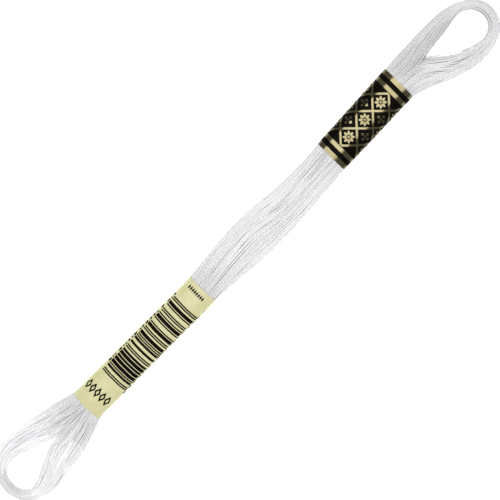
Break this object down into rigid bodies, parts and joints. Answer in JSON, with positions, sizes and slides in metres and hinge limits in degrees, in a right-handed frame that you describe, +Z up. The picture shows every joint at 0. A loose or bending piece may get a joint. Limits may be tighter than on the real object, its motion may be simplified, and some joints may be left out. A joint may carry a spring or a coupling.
{
  "type": "hank of embroidery floss",
  "caption": "Long hank of stranded cotton thread with an open loop at each end, held by two flat paper bands.",
  "frame": {"origin": "on the surface that the hank lies on, under the middle of its outline", "axes": "+X along the hank toward the black and gold band, +Y across it, +Z up"},
  "size_m": [0.1618, 0.0176, 0.0047],
  "materials": {
    "floss": "mercerised six-strand cotton, silky white",
    "black_gold_paper": "black gloss paper with metallic gold print",
    "cream_paper": "smooth cream paper with black bars"
  },
  "bodies": {
    "root": {"floss_hank": "floss", "wide_sleeve": "black_gold_paper", "label_sleeve": "cream_paper"}
  },
  "joints": []
}
